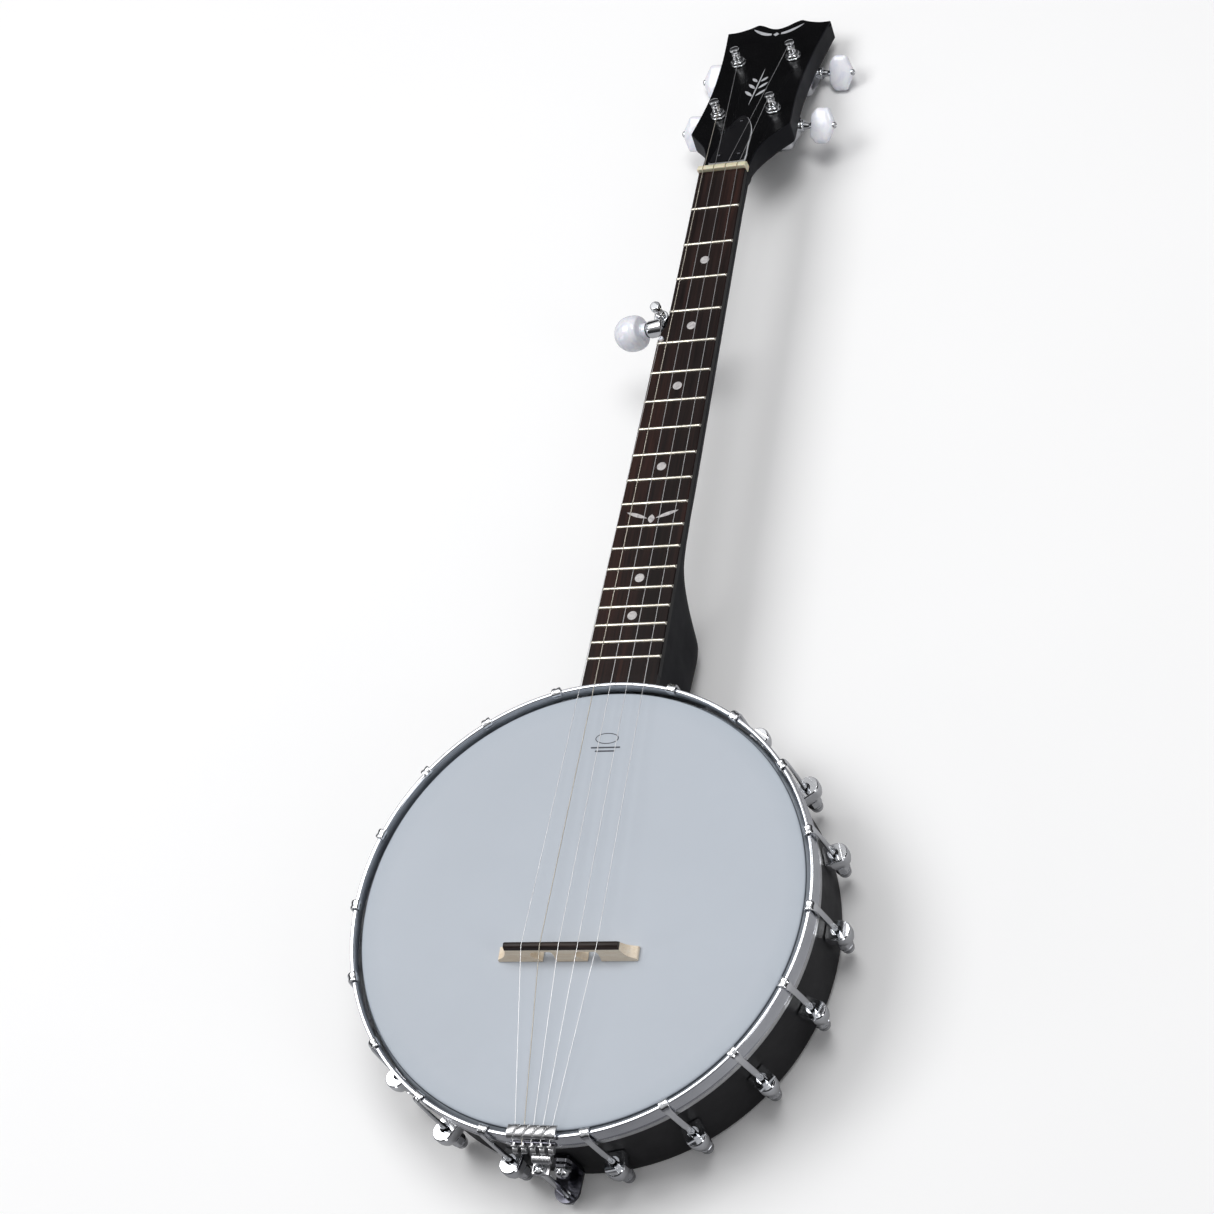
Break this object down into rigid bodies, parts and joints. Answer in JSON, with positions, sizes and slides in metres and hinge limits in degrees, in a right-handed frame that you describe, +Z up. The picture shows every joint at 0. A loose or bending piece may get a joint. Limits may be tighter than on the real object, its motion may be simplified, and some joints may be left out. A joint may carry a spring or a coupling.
{
  "type": "open-back banjo",
  "caption": "Open-back five-string banjo: hooped drum head on a round rim, long fretted neck, tilted headstock with geared tuners, bridge and tailpiece.",
  "frame": {"origin": "centre of the bounding box, at its bottom: the surface the instrument lies on", "axes": "+Y up the neck to the headstock, +X to the treble side, +Z up out of the drum head, the instrument lying on its back"},
  "size_m": [0.3099, 0.8896, 0.0843],
  "materials": {
    "black_lacquer": "satin black lacquer over maple",
    "frosted_head": "frosted pale blue-grey film",
    "alloy": "plain",
    "steel": "plain steel",
    "rosewood": "oiled, open grain",
    "bone": "polished cream",
    "maple": "bare maple",
    "ebony": "polished",
    "pearl_plastic": "white pearl",
    "chrome": "polished"
  },
  "bodies": {
    "banjo": {"rim_shell": "black_lacquer", "drum_head": "frosted_head", "flesh_hoop": "alloy", "tension_hoop": "chrome", "bracket_01": "chrome", "bracket_02": "chrome", "bracket_03": "chrome", "bracket_04": "chrome", "bracket_05": "chrome", "bracket_06": "chrome", "bracket_07": "chrome", "bracket_08": "chrome", "bracket_09": "chrome", "bracket_10": "chrome", "bracket_11": "chrome", "bracket_12": "chrome", "bracket_13": "chrome", "bracket_14": "chrome", "bracket_15": "chrome", "bracket_16": "chrome", "bracket_17": "chrome", "bracket_18": "chrome", "neck": "black_lacquer", "fretboard": "rosewood", "string_nut": "bone", "fifth_string_nut": "bone", "truss_rod": "steel", "truss_rod_cover": "black_lacquer", "coordinator_rod": "steel", "tail_nut": "chrome", "tailpiece_hanger": "steel", "tailpiece": "chrome", "tailpiece_bolt": "chrome", "tailpiece_nut": "chrome", "bridge": "maple", "bridge_cap": "ebony", "tuner_bushing_1": "chrome", "tuner_housing_1": "chrome", "tuner_bushing_2": "chrome", "tuner_housing_2": "chrome", "tuner_bushing_3": "chrome", "tuner_housing_3": "chrome", "tuner_bushing_4": "chrome", "tuner_housing_4": "chrome", "fifth_peg_housing": "chrome", "string_1": "steel", "string_2": "steel", "string_3": "steel", "string_4": "steel", "string_5": "steel"},
    "button_1": {"tuner_button_1": "pearl_plastic"},
    "post_1": {"tuner_post_1": "chrome"},
    "button_2": {"tuner_button_2": "pearl_plastic"},
    "post_2": {"tuner_post_2": "chrome"},
    "button_3": {"tuner_button_3": "pearl_plastic"},
    "post_3": {"tuner_post_3": "chrome"},
    "button_4": {"tuner_button_4": "pearl_plastic"},
    "post_4": {"tuner_post_4": "chrome"},
    "fifth_knob": {"fifth_peg_knob": "pearl_plastic"},
    "fifth_post": {"fifth_peg_post": "chrome"}
  },
  "joints": [
    {"name": "button_1_turn", "type": "hinge", "parent": "banjo", "child": "button_1", "pos_m": [0.02342, 0.33717, 0.02593], "axis": [0.9905, -0.133, 0.0345], "continuous": true},
    {"name": "post_1_turn", "type": "hinge", "parent": "banjo", "child": "post_1", "pos_m": [0.0221, 0.33319, 0.04845], "axis": [0, 0.2512, 0.9679], "continuous": true},
    {"name": "button_2_turn", "type": "hinge", "parent": "banjo", "child": "button_2", "pos_m": [0.02372, 0.40076, 0.00942], "axis": [0.9905, -0.133, 0.0345], "continuous": true},
    {"name": "post_2_turn", "type": "hinge", "parent": "banjo", "child": "post_2", "pos_m": [0.0224, 0.39678, 0.03195], "axis": [0, 0.2512, 0.9679], "continuous": true},
    {"name": "button_3_turn", "type": "hinge", "parent": "banjo", "child": "button_3", "pos_m": [-0.01748, 0.40076, 0.00942], "axis": [-0.9905, 0.133, -0.0345], "continuous": true},
    {"name": "post_3_turn", "type": "hinge", "parent": "banjo", "child": "post_3", "pos_m": [-0.0188, 0.39678, 0.03195], "axis": [0, 0.2512, 0.9679], "continuous": true},
    {"name": "button_4_turn", "type": "hinge", "parent": "banjo", "child": "button_4", "pos_m": [-0.01718, 0.33717, 0.02593], "axis": [-0.9905, 0.133, -0.0345], "continuous": true},
    {"name": "post_4_turn", "type": "hinge", "parent": "banjo", "child": "post_4", "pos_m": [-0.0185, 0.33319, 0.04845], "axis": [0, 0.2512, 0.9679], "continuous": true},
    {"name": "fifth_knob_turn", "type": "hinge", "parent": "banjo", "child": "fifth_knob", "pos_m": [-0.0276, 0.13727, 0.06275], "axis": [-0.9816, 0.0048, -0.1907], "continuous": true},
    {"name": "fifth_post_turn", "type": "hinge", "parent": "banjo", "child": "fifth_post", "pos_m": [-0.0228, 0.14396, 0.06732], "axis": [0, -0.0253, 0.9997], "continuous": true}
  ],
  "couplings": [
    {"joint": "post_1_turn", "follows": "button_1_turn", "ratio": 0.071429},
    {"joint": "post_2_turn", "follows": "button_2_turn", "ratio": 0.071429},
    {"joint": "post_3_turn", "follows": "button_3_turn", "ratio": 0.071429},
    {"joint": "post_4_turn", "follows": "button_4_turn", "ratio": 0.071429},
    {"joint": "fifth_post_turn", "follows": "fifth_knob_turn", "ratio": 0.071429}
  ]
}
